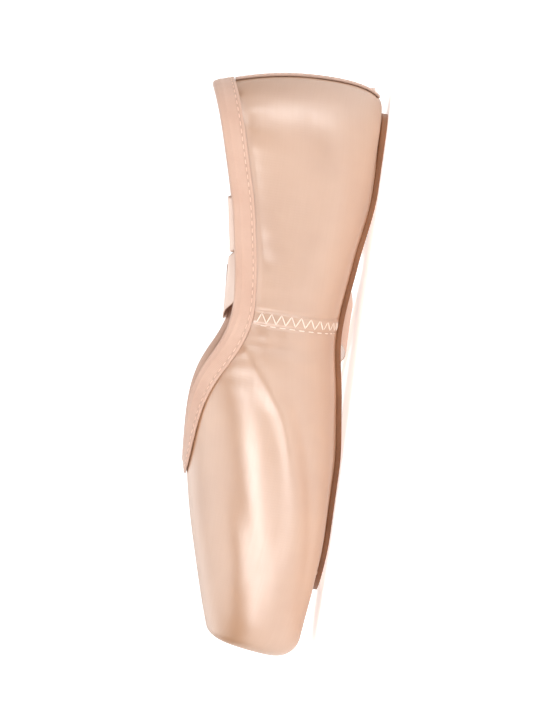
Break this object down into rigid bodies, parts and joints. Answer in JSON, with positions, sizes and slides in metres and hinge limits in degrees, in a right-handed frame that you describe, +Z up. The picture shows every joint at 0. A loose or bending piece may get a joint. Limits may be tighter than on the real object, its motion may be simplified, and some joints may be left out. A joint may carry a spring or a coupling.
{
  "type": "pointe shoe",
  "caption": "Satin ballet pointe shoe with a blocked flat-ended toe, narrow leather sole, bound collar and ribbons laid down beside it, standing empty on its sole.",
  "frame": {"origin": "on the floor, under the middle of the shoe's length and width, ribbons not counted", "axes": "+X to the toe, +Y to the wearer's left, +Z up"},
  "size_m": [0.2457, 0.211, 0.0691],
  "materials": {
    "satin": "pale peach satin with a soft sheen",
    "sole_leather": "smooth pale leather with a dark cut edge",
    "insole_board": "plain canvas over board",
    "binding_tape": "matt woven tape",
    "ribbon_satin": "soft satin ribbon"
  },
  "bodies": {
    "root": {"upper": "satin", "outsole": "sole_leather", "insole": "insole_board", "binding": "binding_tape", "back_strip": "binding_tape", "ribbon_left": "ribbon_satin", "ribbon_right": "ribbon_satin"}
  },
  "joints": []
}
